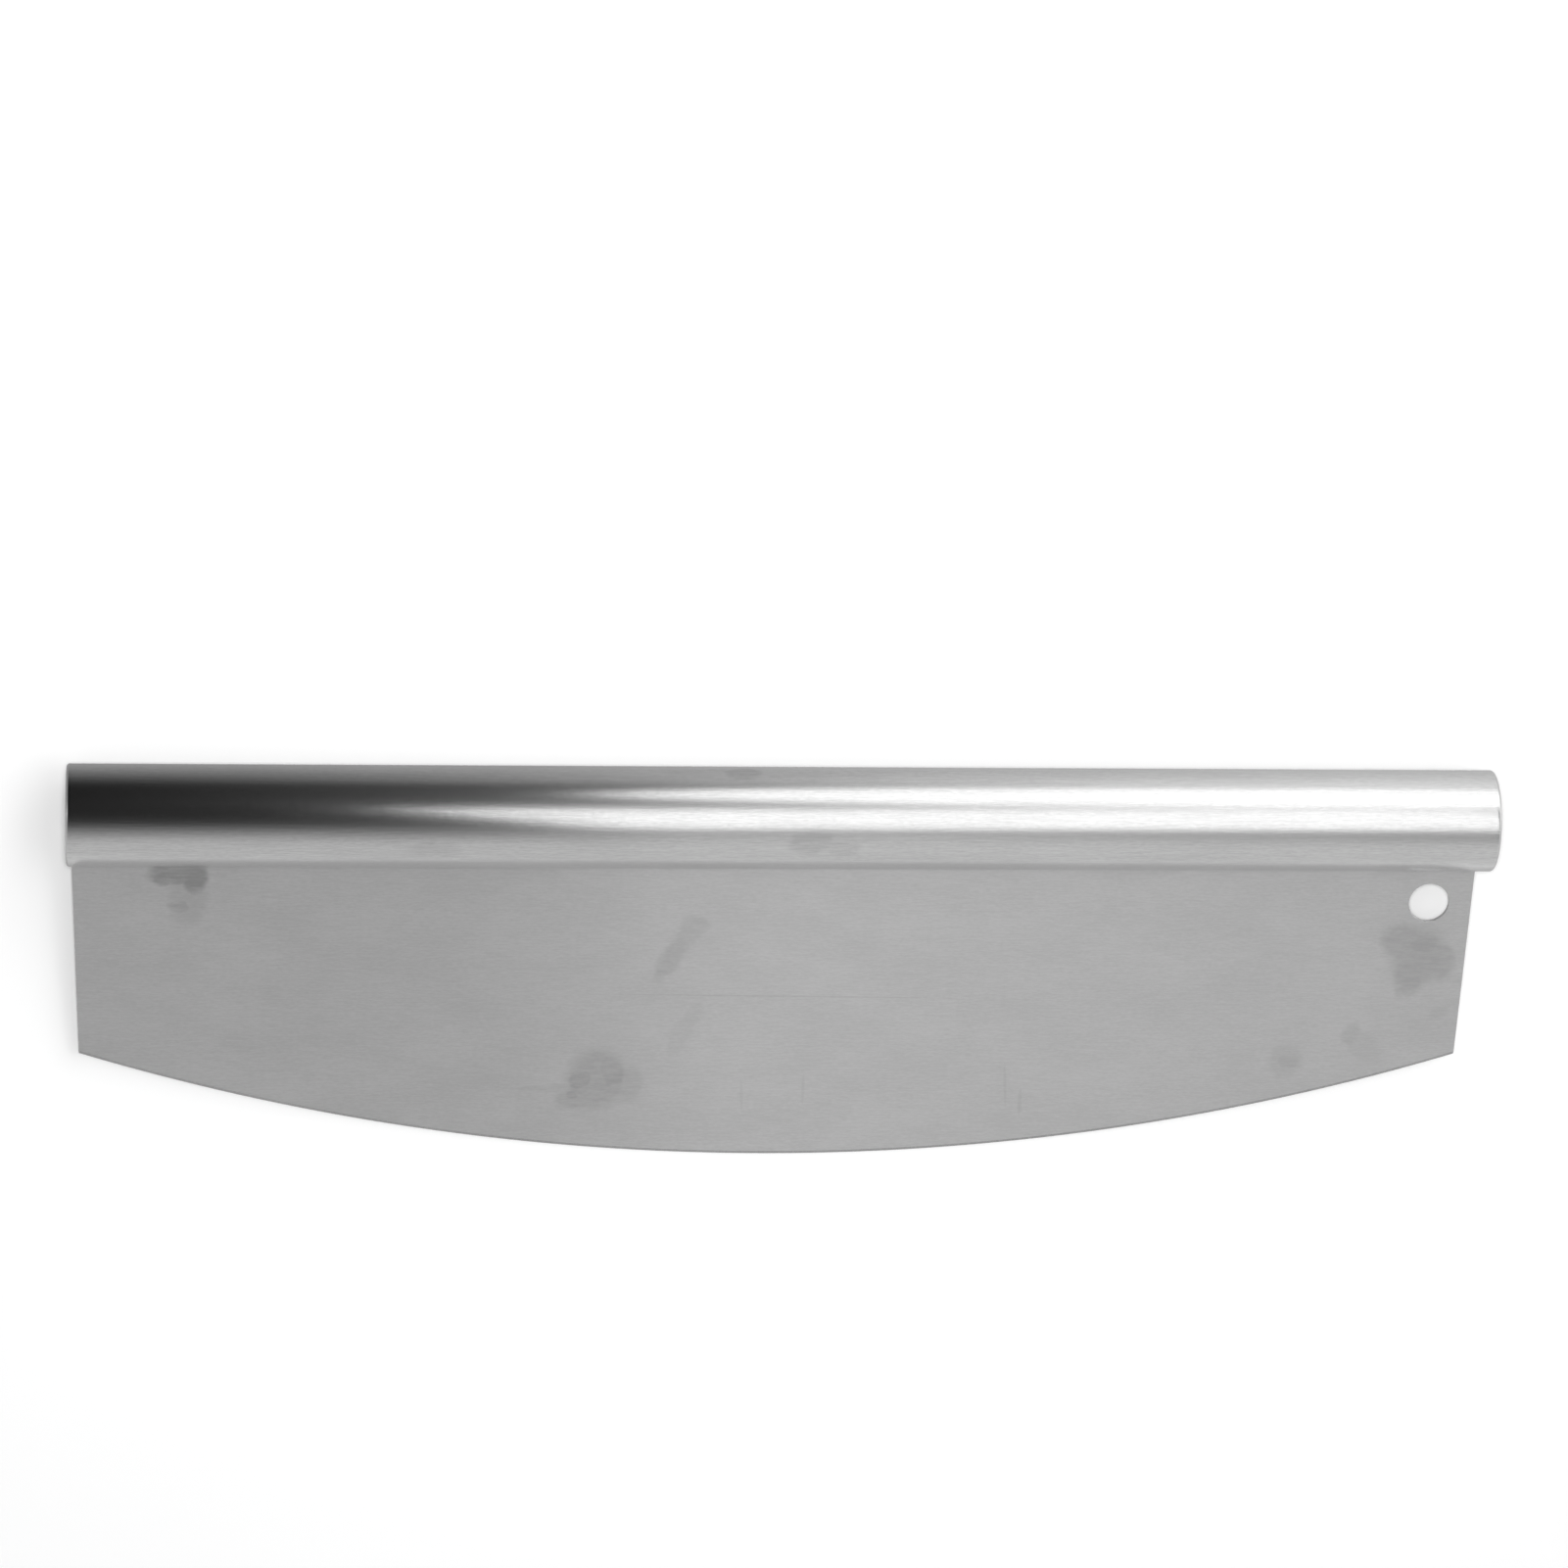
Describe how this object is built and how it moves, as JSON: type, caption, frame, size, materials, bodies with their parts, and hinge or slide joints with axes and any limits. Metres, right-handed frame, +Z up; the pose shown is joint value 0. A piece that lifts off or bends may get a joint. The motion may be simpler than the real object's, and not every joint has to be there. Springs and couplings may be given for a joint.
{
  "type": "rocking pizza cutter",
  "caption": "All-steel rocking pizza cutter: a wide blade with a curved ground edge and a hanging hole, welded along a capped tube handle.",
  "frame": {"origin": "on the table, under the middle of the cutter as it lies on its tube and its cutting edge", "axes": "+X along the tube towards the hanging hole, +Y from the cutting edge to the tube, +Z up off the table"},
  "size_m": [0.3556, 0.1036, 0.0254],
  "materials": {
    "tube_steel": "satin polish with fine lengthwise brush lines",
    "cap_steel": "satin, turned on the face and polished on the rounded edge",
    "blade_steel": "fine lengthwise brush lines, with a ground cutting edge",
    "weld_steel": "as welded, brushed clean"
  },
  "bodies": {
    "root": {"handle_tube": "tube_steel", "left_end_cap": "cap_steel", "right_end_cap": "cap_steel", "blade": "blade_steel", "front_weld_bead": "weld_steel", "back_weld_bead": "weld_steel"}
  },
  "joints": []
}
